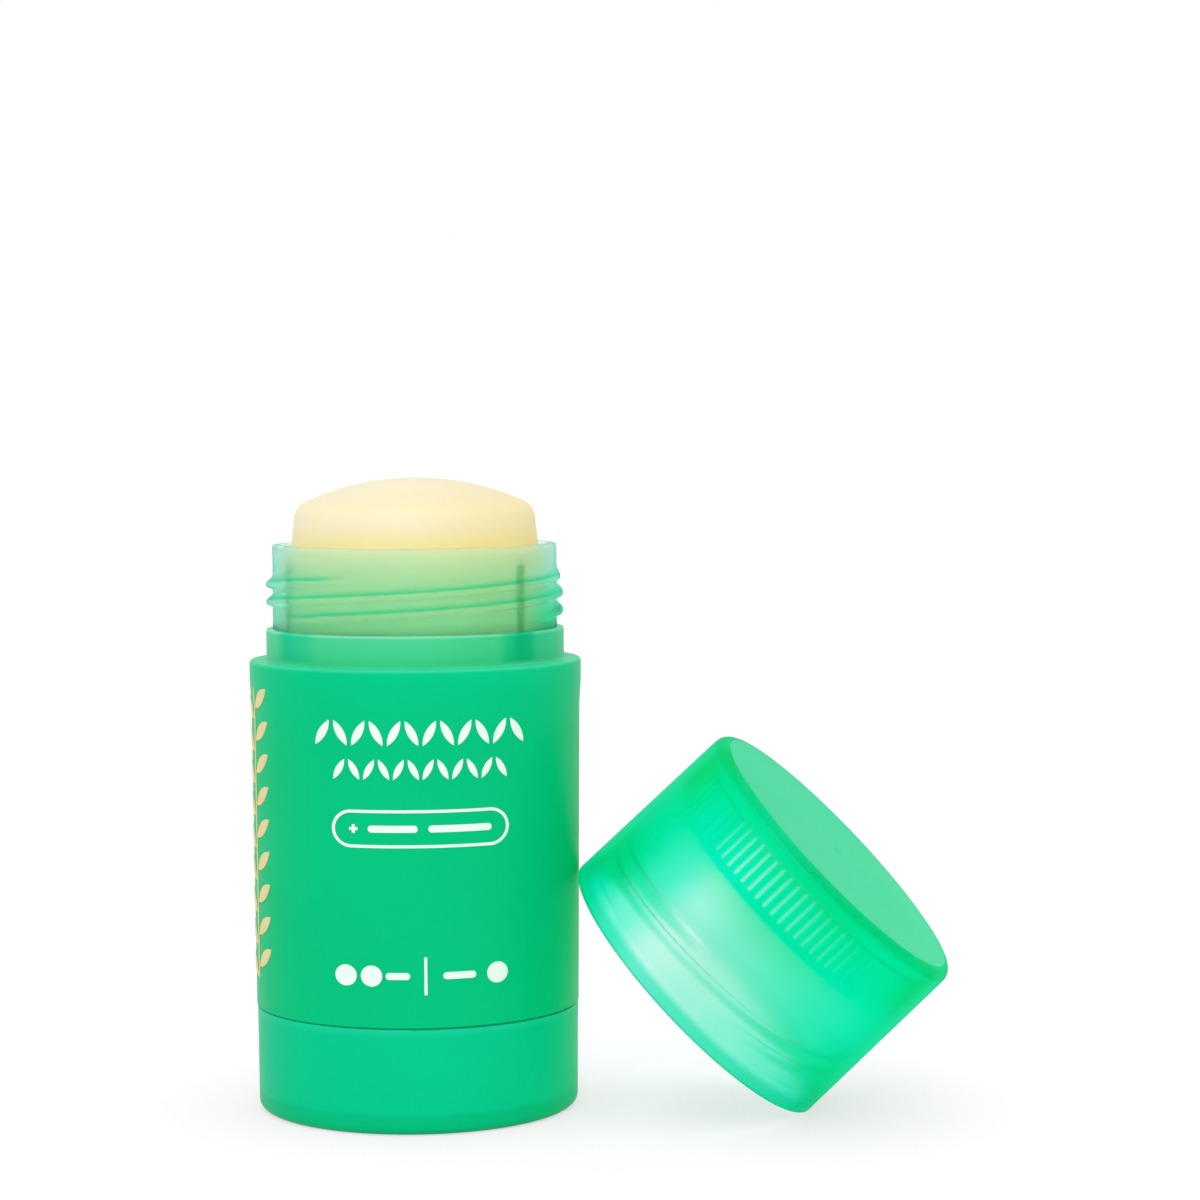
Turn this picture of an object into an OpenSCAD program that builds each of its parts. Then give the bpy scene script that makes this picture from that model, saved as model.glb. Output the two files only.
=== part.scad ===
// Twist-up balm stick, standing open, with its screw cap leaning on it.
// The origin is the centre of the knob's base. Z runs up the stick and the front faces -Y.
// Angles called "round" are measured from the front, positive towards +X.

/* [Barrel] */
// Outer diameter at the shoulder, where the cap's rim seats
shoulder_d = 39; // [38.4:0.1:42]
// Outer diameter of the straight skirt, just under the flare
waist_d = 38.6; // [37.6:0.1:38.9]
// Outer diameter at the skirt's lower end
seam_d = 38.06; // [37:0.02:38.5]
// Height of the shoulder above the base
shoulder_h = 52.9; // [48:0.1:65]
// Length over which the skirt flares out to the shoulder
flare_h = 6; // [3:0.5:9]
// Wall of the outer skirt
skirt_wall = 1.2; // [0.8:0.1:1.4]
// Thickness of the shoulder's web
shoulder_t = 1.4; // [1:0.1:2.5]
// Diameter of the plain collar
collar_d = 35; // [34.9:0.05:35.2]
// Height of the plain collar above the shoulder
collar_h = 3.65; // [2.5:0.05:4]
// Outer diameter of the neck and of the inner tube below it
neck_d = 33.4; // [33:0.1:33.7]
// Height of the neck's rim above the shoulder
neck_h = 13.5; // [12:0.1:15]
// Wall of the neck and the inner tube
tube_wall = 1.1; // [0.9:0.1:1.3]
// Thickness of the tube's floor, which carries the screw
tube_floor_t = 1.4; // [1:0.1:2]

/* [Neck thread] */
// Number of thread starts
thread_starts = 3; // [1:1:4]
// Rise of the thread in one turn
thread_lead = 6.24; // [5:0.02:7]
// Height of the thread over the neck
thread_depth = 0.75; // [0.5:0.05:0.8]
// Angle that each thread runs round the neck
thread_sweep = 300; // [180:10:320]
// Height of each thread's lower end above the collar
thread_rise = 1.2; // [1.15:0.05:1.6]

/* [Guide ribs] */
// Number of guide ribs inside the tube
rib_count = 3; // [2:1:4]
// Width of a guide rib
rib_w = 0.8; // [0.6:0.1:1.4]
// Height of a guide rib over the bore
rib_depth = 0.7; // [0.5:0.05:0.8]
// Distance from the rim down to the ribs' upper ends
rib_drop = 2.2; // [1.5:0.1:3]
// Angle of the first rib, beside which the first thread begins
rib_round = -65; // [-180:1:180]

/* [Knob] */
// Diameter of the knob at its upper edge
knob_d = 37.9; // [36:0.05:38]
// Diameter of the knob just above its base corner
knob_base_d = 37.7; // [36:0.05:38]
// Height of the knob's outer wall
knob_h = 12.2; // [10:0.1:15]
// Wall of the knob
knob_wall = 1.3; // [1:0.1:2]
// Thickness of the knob's floor
knob_floor_t = 2.2; // [1.5:0.1:3]
// Radius of the knob's base corner
knob_round_r = 1.1; // [0.5:0.1:1.4]
// Wall of the ring that clips into the tube
spigot_wall = 1.2; // [1:0.1:1.6]
// Number of stiffening webs between the hub and the ring
web_count = 6; // [3:1:8]

/* [Lead screw] */
// Core diameter of the screw
screw_core_d = 5.2; // [4.6:0.1:5.4]
// Diameter over the screw's thread
screw_d = 7.2; // [6.4:0.1:7.6]
// Rise of the screw in one turn
screw_lead = 4; // [3.6:0.1:5]
// Diameter of the journal that turns in the tube's floor
journal_d = 6; // [5.8:0.1:6.4]
// Diameter of the flange that bears on the tube's floor
flange_d = 11; // [9:0.5:14]
// Thickness of that flange
flange_t = 1.2; // [0.8:0.1:2]

/* [Elevator and balm] */
// Height of the platform's upper face above the base, at rest
platform_h = 25.4; // [24.8:0.1:30]
// Thickness of the platform
platform_t = 1.2; // [0.8:0.1:2]
// Distance that the elevator rises
travel = 38; // [20:0.5:38]
// Diameter of the nut's hub
nut_d = 11.6; // [10:0.1:14]
// Wall of the elevator's skirt
elevator_wall = 1.3; // [1.2:0.1:1.6]
// Diameter of the balm's dome where it leaves the neck
dome_d = 29.1; // [27:0.1:29.2]
// Diameter of the dome at the top of its straight side
dome_top_d = 28.3; // [26:0.1:28.6]
// Height of the dome's side above the rim, where its shoulder begins
dome_side_h = 2.95; // [2:0.05:3.5]
// Radius of the dome's shoulder
dome_edge_r = 2.2; // [1.5:0.1:2.6]
// Height of the dome's crown above the rim
dome_h = 7.75; // [7:0.05:8.2]

/* [Cap] */
// Outer diameter of the cap at its rim
cap_d = 39; // [38.4:0.1:42]
// Outer diameter of the cap just under its top corner
cap_top_d = 38.3; // [37.8:0.1:38.4]
// Height of the cap
cap_h = 23.6; // [23.4:0.1:28]
// Thickness of the cap's roof
cap_roof_t = 1.3; // [1:0.1:1.6]
// Radius of the cap's top corner
cap_round_r = 1.3; // [0.6:0.1:1.6]
// Inner diameter of the cap over its threads
cap_bore_d = 35.6; // [35.5:0.1:36]
// Radial width of the step in the cap's mouth
cap_mouth_step = 0.35; // [0.2:0.05:0.6]
// Depth of the step in the cap's mouth
cap_mouth_h = 2.2; // [1:0.1:3]
// Angle that each thread runs round the cap's bore
cap_thread_sweep = 240; // [160:10:300]
// Number of fine upright ribs near the roof
cap_rib_count = 90; // [40:1:110]
// Length of the fine ribs
cap_rib_h = 4.6; // [2:0.1:6]
// Height of the fine ribs over the cap's bore
cap_rib_depth = 0.35; // [0.2:0.05:0.5]
// Radial width of the thick land between the ribs and the roof
cap_land_w = 0.8; // [0.6:0.1:1.2]
// Height of that land
cap_land_h = 1.6; // [1:0.1:2]

/* [Cap at rest] */
// Angle between the cap's axis and the floor
cap_lean = 44; // [35:1:60]
// Direction that the cap's axis points on the floor, from +X towards +Y
cap_turn = -10; // [-30:1:30]
// Sideways distance from the stick's axis to the cap's axis
cap_slip = 3.4; // [0:0.1:6]

/* [Print] */
// Stroke of the printed lines
ink_stroke = 0.34; // [0.2:0.02:0.6]
// Thickness of the ink
ink_t = 0.08; // [0.05:0.01:0.15]
// Height of the printed bars
bar_h = 0.8; // [0.4:0.1:1.4]
// Angle round the barrel of the front print's middle
front_round = 4.7; // [-20:0.1:20]
// Height of the upper row of leaves, at its middle
upper_row_z = 45.8; // [43:0.1:48]
// Width of the upper row
upper_row_w = 24; // [12:0.5:26]
// Length of the upper row's leaves
upper_leaf = 3.2; // [1.5:0.1:4]
// Height of the middle row of leaves, at its middle
middle_row_z = 41.7; // [38:0.1:43]
// Width of the middle row
middle_row_w = 20; // [10:0.5:26]
// Length of the middle row's leaves
middle_leaf = 2.6; // [1:0.1:3.5]
// Height of the outlined pill, at its middle
pill_z = 35; // [26:0.1:38]
// Width of the pill
pill_w = 20; // [10:0.5:26]
// Height of the pill's outline
pill_h = 4.3; // [2:0.1:6]
// Height of the lowest row, at its middle
low_row_z = 18.3; // [16:0.1:25]
// Width of the lowest row
low_row_w = 19.7; // [10:0.1:26]
// Radius of the lowest row's discs
disc_r = 1.2; // [0.6:0.1:1.6]
// Length of the lowest row's divider
divider_h = 4.3; // [2:0.1:5]
// Angle round the barrel of the side print's middle
side_round = -72; // [-100:1:-40]
// Height of the side print's lower end
vine_low_z = 16; // [14:0.5:24]
// Height of the side print's upper end
vine_high_z = 50; // [36:0.5:51]
// Length of the side print's leaves
vine_leaf = 4.6; // [2:0.1:6]
// Distance of the leaves' middles from the side print's stem
vine_reach = 2.4; // [1.5:0.1:4]

/* [Clearances] */
// Gap at the seam between the knob and the skirt
seam_gap = 0.1; // [0.1:0.05:0.4]
// Radial clearance of the journal in its hole
journal_gap = 0.08; // [0.02:0.01:0.1]
// Radial clearance of the knob's ring in the tube
spigot_gap = 0.2; // [0.15:0.05:0.3]
// Clearance of the elevator and balm in the tube and along its ribs
slide_gap = 0.3; // [0.2:0.05:0.4]
// Clearance round the screw's thread
screw_gap = 0.3; // [0.2:0.05:0.4]
// Gap between faces that bear on each other
seat_gap = 0.2; // [0.1:0.05:0.3]
// Clearance of the hexagonal key in the knob's hub
key_gap = 0.05; // [0.02:0.01:0.1]
// Clearance of the balm round the platform's anchors
cast_gap = 0.1; // [0.05:0.05:0.2]
// Gap between the leaning cap's rim and the barrel
cap_rest_gap = 0.15; // [0.1:0.05:0.3]

/* [Hidden] */
$fn = 128;
e = 0.01;

// Heights above the base
skirt_z = knob_h + seam_gap;
collar_z = shoulder_h + collar_h;
rim_z = shoulder_h + neck_h;
rib_top_z = rim_z - rib_drop;
spigot_h = 2.8;
spigot_z = skirt_z + spigot_h;
floor_z = spigot_z + seat_gap;
floor_top_z = floor_z + tube_floor_t;
flange_z = floor_top_z + seat_gap;
flange_top_z = flange_z + flange_t;
nut_z = flange_top_z + 2 * seat_gap;
platform_z = platform_h - platform_t;
ledge_drop = 0.5;
ledge_z = rim_z - ledge_drop;
dome_z = rim_z + dome_h;

// Radii of the barrel
shoulder_r = shoulder_d / 2;
waist_r = waist_d / 2;
seam_r = seam_d / 2;
neck_r = neck_d / 2;
bore_r = neck_r - tube_wall;
waist_z = shoulder_h - flare_h;
flare_top_z = shoulder_h - 1.6;
rim_round = 0.3;
edge_round = 0.35;
collar_chamfer = 0.2;

// Angles: the front is at -90 degrees from +X
front = -90;
rib_step = 360 / rib_count;
thread_step = 360 / thread_starts;
thread_round = rib_round - 6;

// Neck thread: widths of its flanks and crest, angle of its run-outs and of its facets
thread_up = 1.15;
thread_down = 0.6;
thread_crest = 0.3;
thread_taper = 36;
thread_facet = 8;

// Snap bead between the knob's ring and the tube
bead_h = 1.2;
bead_depth = 0.35;
bead_z = skirt_z + 1.3;
spigot_r = bore_r - spigot_gap;
hub_wall = 1.6;
key_r = journal_d / 2;
hub_top_z = floor_z - seat_gap;
key_h = 9;
key_z = hub_top_z - key_h;
web_t = 1;

// Screw and nut
screw_r = screw_d / 2;
core_r = screw_core_d / 2;
screw_root = 0.4 * screw_lead;
screw_crest = 0.2 * screw_lead;
screw_thread_z = flange_top_z + 1.4;
lug_z = screw_thread_z + screw_lead / 2;
screw_thread_top_z = lug_z + travel + 0.6;
screw_top_z = screw_thread_top_z + 0.4;
nut_bore_r = screw_r + screw_gap;
lug_arc = 40;
lug_h = 0.4 * screw_lead;
lug_r = core_r + screw_gap;

// Elevator and balm
elevator_r = bore_r - slide_gap;
elevator_z = floor_top_z + 0.6;
notch_w = rib_w + 2 * slide_gap;
notch_r = bore_r - rib_depth - slide_gap;
anchor_r = 10.5;
anchor_w = 1;
anchor_h = 3;
anchor_arc = 60;
anchor_count = 4;
balm_bore_top_z = screw_top_z + 2 * seat_gap;
dome_side_z = rim_z + dome_side_h;
dome_edge_x = dome_top_d / 2 - dome_edge_r;
crown_rise = dome_h - dome_side_h;
// Radius of the crown that meets the shoulder's arc without a kink
crown_r = (pow(dome_edge_x, 2) + pow(crown_rise, 2) - pow(dome_edge_r, 2)) / (2 * (crown_rise - dome_edge_r));
dome_draft = atan((dome_d - dome_top_d) / 2 / (dome_side_z - ledge_z));

// Cap
cap_r = cap_d / 2;
cap_top_r = cap_top_d / 2;
cap_bore_r = cap_bore_d / 2;
cap_inner_top_r = cap_top_r - (cap_r - cap_bore_r) + 0.3;
cap_roof_z = cap_h - cap_roof_t;
cap_land_z = cap_roof_z - cap_land_h;
cap_mouth_r = cap_bore_r + cap_mouth_step;
cap_rim_round = 0.3;
cap_thread_depth = cap_bore_r - neck_r - slide_gap;
cap_thread_z = collar_h + thread_rise - thread_lead / (2 * thread_starts);
cap_thread_turn = 31;
cap_thread_up = 0.6;
cap_thread_down = 1.1;

// The skirt's outer line, from the seam up to the end of the flare
function ease(t) = t <= 0 ? 0 : t >= 1 ? 1 : t * t * (3 - 2 * t);
skirt_line = concat([[seam_r, skirt_z]],
                    [for (i = [0:6]) [waist_r + (shoulder_r - waist_r) * ease(i / 6),
                                      waist_z + (flare_top_z - waist_z) * i / 6]]);

// Skirt radius at a height, and the height at which the cap's rim touches it
function skirt_r(z) = seam_r + (waist_r - seam_r) * (z - skirt_z) / (waist_z - skirt_z);
lean_z = (cap_r - cap_rim_round) * cos(cap_lean) + cap_rim_round * (1 - sin(cap_lean));
touch_z = 2 * (cap_r - cap_rim_round) * cos(cap_lean) + cap_rim_round;
lean_reach = (cap_r - cap_rim_round) * sin(cap_lean) + cap_rim_round * (1 - cos(cap_lean));
slip_gain = pow(cap_slip, 2) / (2 * (cap_r / sin(cap_lean) + seam_r));
lean_x = skirt_r(touch_z) + cap_rest_gap + lean_reach - slip_gain;

// Cuts the outer corner (x, y) of a profile to a radius. sx and sy point out of the corner.
module round_corner(x, y, r, sx, sy) {
    translate([x - sx * r, y - sy * r])
        difference() {
            translate([sx > 0 ? 0 : -2 * r, sy > 0 ? 0 : -2 * r]) square(2 * r);
            circle(r);
        }
}

// A screw ridge that rises out of a wall of radius r and sinks back into it at its ends.
// A negative depth makes it stand inwards. up and down are the widths of its flanks above
// and below the middle of the crest, where they meet the wall. taper is in degrees.
module ridge(r, depth, up, down, crest, lead, sweep, taper, step) {
    n = ceil(sweep / step);
    s = sign(depth);
    sink = 0.4;
    spread = sink / abs(depth);
    top = up + (up - crest / 2) * spread;
    bottom = down + (down - crest / 2) * spread;
    function size(i) = -0.2 + 1.2 * min(ease(i * step / taper), ease((n - i) * step / taper));
    function section(k) = [[r - s * sink, top], [r + depth * k, crest / 2],
                           [r + depth * k, -crest / 2], [r - s * sink, -bottom]];
    points = [for (i = [0:n], p = section(size(i)))
              [p[0] * cos(sweep * i / n), p[0] * sin(sweep * i / n), p[1] + lead * sweep * i / n / 360]];
    sides = [for (i = [0:n - 1], j = [0:3], half = [0, 1])
             let (a = 4 * i + j, b = 4 * i + (j + 1) % 4, c = b + 4, d = a + 4)
             half == 0 ? [a, b, c] : [a, c, d]];
    ends = [for (j = [1, 2], last = [0, 1])
            last == 0 ? [0, j + 1, j] : [4 * n, 4 * n + j, 4 * n + j + 1]];
    faces = concat(sides, ends);
    polyhedron(points, s < 0 ? faces : [for (f = faces) [f[2], f[1], f[0]]]);
}

// Barrel

module barrel_outline() {
    polygon(concat(
        [[0, skirt_z]], skirt_line,
        [[shoulder_r, shoulder_h], [collar_d / 2, shoulder_h],
         [collar_d / 2, collar_z - collar_chamfer], [collar_d / 2 - collar_chamfer, collar_z],
         [neck_r, collar_z], [neck_r, rim_z], [0, rim_z]]));
}

module barrel_profile() {
    difference() {
        barrel_outline();
        // Bore of the tube, above and below its floor
        translate([-1, floor_top_z]) square([bore_r + 1, rim_z]);
        translate([-1, 0]) square([bore_r + 1, floor_z]);
        translate([-1, 0]) square([key_r + journal_gap + 1, rim_z]);
        // Space between the skirt and the tube
        polygon([[neck_r, 0], [seam_r - skirt_wall, 0], [seam_r - skirt_wall, skirt_z],
                 [waist_r - skirt_wall, waist_z], [waist_r - skirt_wall, shoulder_h - shoulder_t],
                 [neck_r, shoulder_h - shoulder_t]]);
        // Groove for the knob's snap bead
        translate([0, bead_z - seat_gap])
            square([bore_r + bead_depth, bead_h + 2 * seat_gap]);
        round_corner(shoulder_r, shoulder_h, edge_round, 1, 1);
        round_corner(neck_r, rim_z, rim_round, 1, 1);
        round_corner(bore_r, rim_z, rim_round, -1, 1);
    }
}

module guide_ribs() {
    for (i = [0:rib_count - 1])
        rotate([0, 0, front + rib_round + i * rib_step])
            translate([bore_r - rib_depth, -rib_w / 2, floor_top_z - e])
                cube([rib_depth + tube_wall / 2, rib_w, rib_top_z - floor_top_z]);
}

module neck_threads() {
    for (i = [0:thread_starts - 1])
        rotate([0, 0, front + thread_round + i * thread_step])
            translate([0, 0, collar_z + thread_rise])
                ridge(neck_r, thread_depth, thread_up, thread_down, thread_crest, thread_lead,
                      thread_sweep, thread_taper, thread_facet);
}

module barrel() {
    color([0.10, 0.78, 0.53])
        union() {
            rotate_extrude() barrel_profile();
            guide_ribs();
            neck_threads();
        }
}

// Knob

module knob_profile() {
    difference() {
        polygon([[0, 0], [knob_base_d / 2, 0], [knob_base_d / 2, knob_round_r],
                 [knob_d / 2, knob_h], [0, knob_h]]);
        round_corner(knob_base_d / 2, 0, knob_round_r, 1, -1);
        round_corner(knob_d / 2, knob_h, 0.2, 1, 1);
        translate([0, knob_floor_t])
            square([knob_base_d / 2 - knob_wall, knob_h]);
    }
    translate([spigot_r - spigot_wall, knob_floor_t - e])
        square([spigot_wall, spigot_z - knob_floor_t + e]);
    // Snap bead
    polygon([[spigot_r - e, bead_z], [spigot_r + bead_depth, bead_z + 0.4],
             [spigot_r + bead_depth, bead_z + 0.7], [spigot_r - e, bead_z + bead_h]]);
    translate([0, knob_floor_t - e])
        square([key_r + hub_wall, hub_top_z - knob_floor_t + e]);
}

module knob() {
    color([0.12, 0.82, 0.60])
        difference() {
            union() {
                rotate_extrude() knob_profile();
                for (i = [0:web_count - 1])
                    rotate([0, 0, i * 360 / web_count])
                        translate([key_r + hub_wall / 2, -web_t / 2, knob_floor_t - e])
                            cube([spigot_r - spigot_wall / 2 - key_r - hub_wall / 2, web_t,
                                  knob_h - knob_floor_t - 2]);
            }
            translate([0, 0, key_z - seat_gap])
                cylinder(r = key_r + key_gap, h = spigot_z, $fn = 6);
        }
}

// Lead screw

module lead_screw() {
    color([0.90, 0.93, 0.90])
        union() {
            translate([0, 0, key_z]) cylinder(r = key_r, h = floor_z - key_z, $fn = 6);
            translate([0, 0, floor_z - e]) cylinder(r = key_r, h = flange_z - floor_z + 2 * e);
            translate([0, 0, flange_z]) cylinder(d = flange_d, h = flange_t);
            translate([0, 0, flange_top_z - e]) cylinder(r = core_r, h = screw_top_z - flange_top_z + e);
            translate([0, 0, screw_thread_z])
                ridge(core_r, screw_r - core_r, screw_root / 2, screw_root / 2, screw_crest, screw_lead,
                      360 * (screw_thread_top_z - screw_thread_z) / screw_lead, 90, 20);
        }
}

// Elevator

module notches(bottom, top) {
    for (i = [0:rib_count - 1])
        rotate([0, 0, front + rib_round + i * rib_step])
            translate([notch_r, -notch_w / 2, bottom])
                cube([rib_depth + slide_gap + tube_wall, notch_w, top - bottom]);
}

module anchors(gap) {
    spread = gap / anchor_r * 180 / PI;
    for (i = [0:anchor_count - 1])
        rotate([0, 0, i * 360 / anchor_count - anchor_arc / 2 - spread])
            translate([0, 0, platform_h - e])
                rotate_extrude(angle = anchor_arc + 2 * spread)
                    translate([anchor_r - anchor_w / 2 - gap, 0])
                        square([anchor_w + 2 * gap, anchor_h + gap + e]);
}

module nut_lug(z, turn) {
    rotate([0, 0, turn - lug_arc / 2])
        translate([0, 0, z - lug_h / 2])
            rotate_extrude(angle = lug_arc)
                translate([lug_r, 0]) square([nut_d / 2 - lug_r - 0.6, lug_h]);
}

module elevator() {
    color([0.90, 0.93, 0.90])
        union() {
            difference() {
                union() {
                    rotate_extrude() {
                        translate([nut_bore_r, platform_z])
                            square([elevator_r - nut_bore_r, platform_t]);
                        translate([nut_bore_r, nut_z])
                            square([nut_d / 2 - nut_bore_r, platform_h - nut_z]);
                        translate([elevator_r - elevator_wall, elevator_z])
                            square([elevator_wall, platform_h - elevator_z]);
                    }
                    for (i = [0:5])
                        rotate([0, 0, 30 + i * 60])
                            translate([nut_d / 2 - 0.5, -0.5, platform_z - 3])
                                cube([elevator_r - elevator_wall - nut_d / 2 + 1, 1, 3 + e]);
                }
                notches(elevator_z - 1, platform_h + 1);
            }
            anchors(0);
            nut_lug(lug_z, 0);
            nut_lug(lug_z + screw_lead / 2, 180);
        }
}

// Balm

module dome_profile() {
    side = [dome_edge_x + dome_edge_r * cos(dome_draft), dome_side_z + dome_edge_r * sin(dome_draft)];
    intersection() {
        translate([0, dome_z - crown_r]) circle(crown_r, $fn = 360);
        union() {
            polygon([[0, ledge_z - e], [dome_d / 2, ledge_z - e], side, [0, side[1]]]);
            translate([0, dome_side_z]) square([dome_edge_x, dome_h]);
            translate([dome_edge_x, dome_side_z]) circle(dome_edge_r);
        }
        translate([0, ledge_z - e]) square([dome_d, dome_h + 1]);
    }
}

module balm_profile() {
    difference() {
        union() {
            translate([0, platform_h]) square([elevator_r, ledge_z - platform_h]);
            dome_profile();
        }
        translate([-1, 0]) square([nut_bore_r + 1, balm_bore_top_z]);
        round_corner(elevator_r, ledge_z, 0.3, 1, 1);
    }
}

module balm_stick() {
    color([0.97, 0.92, 0.76])
        difference() {
            rotate_extrude() balm_profile();
            notches(platform_h - 1, rib_top_z + slide_gap);
            anchors(cast_gap);
        }
}

// Cap, with its mouth at the origin and its top along +Z

module cap_profile() {
    difference() {
        polygon([[0, 0], [cap_r, 0], [cap_top_r, cap_h], [0, cap_h]]);
        polygon([[-1, -1], [cap_mouth_r, -1], [cap_mouth_r, cap_mouth_h], [cap_bore_r, cap_mouth_h + 0.3],
                 [cap_inner_top_r, cap_land_z], [cap_inner_top_r - cap_land_w, cap_land_z],
                 [cap_inner_top_r - cap_land_w, cap_roof_z], [-1, cap_roof_z]]);
        round_corner(cap_top_r, cap_h, cap_round_r, 1, 1);
        round_corner(cap_r, 0, cap_rim_round, 1, -1);
    }
}

// Fine upright ribs: a toothed ring that sinks into the wall and the land
module cap_ribs() {
    sink = 0.4;
    foot_r = cap_inner_top_r - 0.05;
    tip_r = cap_inner_top_r - cap_rib_depth;
    step = 360 / cap_rib_count;
    translate([0, 0, cap_land_z - cap_rib_h])
        linear_extrude(cap_rib_h + sink)
            difference() {
                circle(cap_inner_top_r + sink);
                polygon([for (i = [0:cap_rib_count - 1], k = [0, 1, 2])
                         let (a = (i + [0, 0.3, 0.7][k]) * step, r = k == 0 ? tip_r : foot_r)
                         [r * cos(a), r * sin(a)]]);
            }
}

module cap_shape() {
    rotate_extrude() cap_profile();
    cap_ribs();
    for (i = [0:thread_starts - 1])
        rotate([0, 0, cap_thread_turn + i * thread_step])
            translate([0, 0, cap_thread_z])
                ridge(cap_bore_r, -cap_thread_depth, cap_thread_up, cap_thread_down, thread_crest,
                      thread_lead, cap_thread_sweep, thread_taper, thread_facet);
}

module cap() {
    color([0.10, 0.86, 0.58])
        rotate([0, 0, cap_turn])
            translate([lean_x, cap_slip, lean_z])
                rotate([0, 90 - cap_lean, 0])
                    cap_shape();
}

// Print: a thin skin on the skirt, cut out by flat shapes

module ink_skin() {
    last = len(skirt_line) - 1;
    rotate_extrude()
        polygon([for (i = [0:2 * last + 1])
                 i <= last ? skirt_line[i] + [e, 0] : skirt_line[2 * last + 1 - i] + [ink_t, 0]]);
}

// Puts flat shapes, drawn in X and height, on the skirt at an angle round it
module ink(turn) {
    intersection() {
        ink_skin();
        rotate([0, 0, turn])
            rotate([90, 0, 0])
                linear_extrude(shoulder_r + 1) children();
    }
}

// A pointed leaf with its middle at the origin, leaning by an angle
module leaf(length, width, lean) {
    r = (length * length + width * width) / (4 * width);
    rotate(-lean)
        intersection() {
            translate([r - width / 2, 0]) circle(r);
            translate([width / 2 - r, 0]) circle(r);
        }
}

module bar(x0, x1, y, h) {
    translate([x0 + h / 2, y - h / 2]) square([x1 - x0 - h, h]);
    for (x = [x0 + h / 2, x1 - h / 2]) translate([x, y]) circle(h / 2);
}

// A row of leaves that lean left and right in turn
module leaf_row(w, y, count, length) {
    lean = 28;
    for (i = [0:count - 1])
        translate([w * ((i + 0.5) / count - 0.5), y])
            leaf(length, 0.29 * length, i % 2 == 0 ? lean : -lean);
}

// An outlined pill that holds a cross and two bars
module pill() {
    half = pill_w / 2;
    cross = 0.22 * pill_h;
    difference() {
        bar(-half, half, pill_z, pill_h);
        bar(-half + ink_stroke, half - ink_stroke, pill_z, pill_h - 2 * ink_stroke);
    }
    translate([-0.76 * half, pill_z]) {
        square([cross, ink_stroke], center = true);
        square([ink_stroke, cross], center = true);
    }
    bar(-0.6 * half, -0.04 * half, pill_z, bar_h);
    bar(0.08 * half, 0.8 * half, pill_z, bar_h);
}

// Discs and bars on both sides of a divider
module low_row() {
    half = low_row_w / 2;
    for (x = [-0.87, -0.58, 0.87]) translate([x * half, low_row_z]) circle(disc_r);
    bar(-0.42 * half, -0.14 * half, low_row_z, bar_h);
    bar(0.24 * half, 0.62 * half, low_row_z, bar_h);
    translate([0.04 * half, low_row_z]) square([ink_stroke, divider_h], center = true);
}

module front_print() {
    color([0.96, 1, 0.98])
        ink(front_round) {
            leaf_row(upper_row_w, upper_row_z, 12, upper_leaf);
            leaf_row(middle_row_w, middle_row_z, 12, middle_leaf);
            pill();
            low_row();
        }
}

// A stem with leaves on both sides
module side_print() {
    pairs = 9;
    pitch = (vine_high_z - vine_low_z) / pairs;
    color([0.93, 0.84, 0.60])
        ink(side_round) {
            translate([-ink_stroke / 2, vine_low_z]) square([ink_stroke, vine_high_z - vine_low_z]);
            for (i = [0:pairs - 1], s = [-1, 1])
                translate([s * vine_reach, vine_low_z + (i + (s > 0 ? 0.7 : 0.35)) * pitch])
                    leaf(vine_leaf, 0.33 * vine_leaf, s * 58);
        }
}

barrel();
knob();
lead_screw();
elevator();
balm_stick();
cap();
front_print();
side_print();
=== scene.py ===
import math

import bpy
import numpy as np
from mathutils import Matrix, Vector


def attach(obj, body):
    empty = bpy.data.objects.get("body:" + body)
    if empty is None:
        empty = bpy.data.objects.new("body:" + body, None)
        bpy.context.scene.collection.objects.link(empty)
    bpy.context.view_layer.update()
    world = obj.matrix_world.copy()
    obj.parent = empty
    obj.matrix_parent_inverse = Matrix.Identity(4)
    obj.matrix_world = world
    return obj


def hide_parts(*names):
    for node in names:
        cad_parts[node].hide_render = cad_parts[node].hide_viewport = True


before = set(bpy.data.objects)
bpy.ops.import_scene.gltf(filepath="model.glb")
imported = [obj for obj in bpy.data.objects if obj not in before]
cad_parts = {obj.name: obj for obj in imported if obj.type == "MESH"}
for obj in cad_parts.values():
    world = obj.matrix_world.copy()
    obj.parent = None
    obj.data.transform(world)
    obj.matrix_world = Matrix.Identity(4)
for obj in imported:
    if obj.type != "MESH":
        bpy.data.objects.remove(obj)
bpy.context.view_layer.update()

# Sizes in millimetres, the same as in the part's source
MM = 0.001
COLUMNS = 360
EDGE_GAP = 0.03
SHARP_ANGLE = 32

KNOB_H = 12.2
SKIRT_Z = 12.3
SHOULDER_Z = 52.9
COLLAR_Z = 56.55
RIM_Z = 66.4
FLARE_TOP_Z = 51.3
WAIST_Z = 46.9
SHOULDER_R = 19.5
WAIST_R = 19.3
SEAM_R = 19.03
COLLAR_R = 17.5
NECK_R = 16.7
BORE_R = 15.6
SKIRT_WALL = 1.2
SHOULDER_T = 1.4
TUBE_FLOOR_Z = 16.7
TUBE_UNDER_Z = 15.3
SPIGOT_GROOVE = (13.4, 15.0, 0.35)
SHOULDER_ROUND = 0.35
COLLAR_FOOT = 0.12
RIM_ROUND = 0.3
HOLE_R = 3.08
RIB_ANGLES = [-155, -35, 85]
RIB_W = 0.8
RIB_DEPTH = 0.7
RIB_TOP_Z = 64.2
SLIDE_GAP = 0.3

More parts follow.
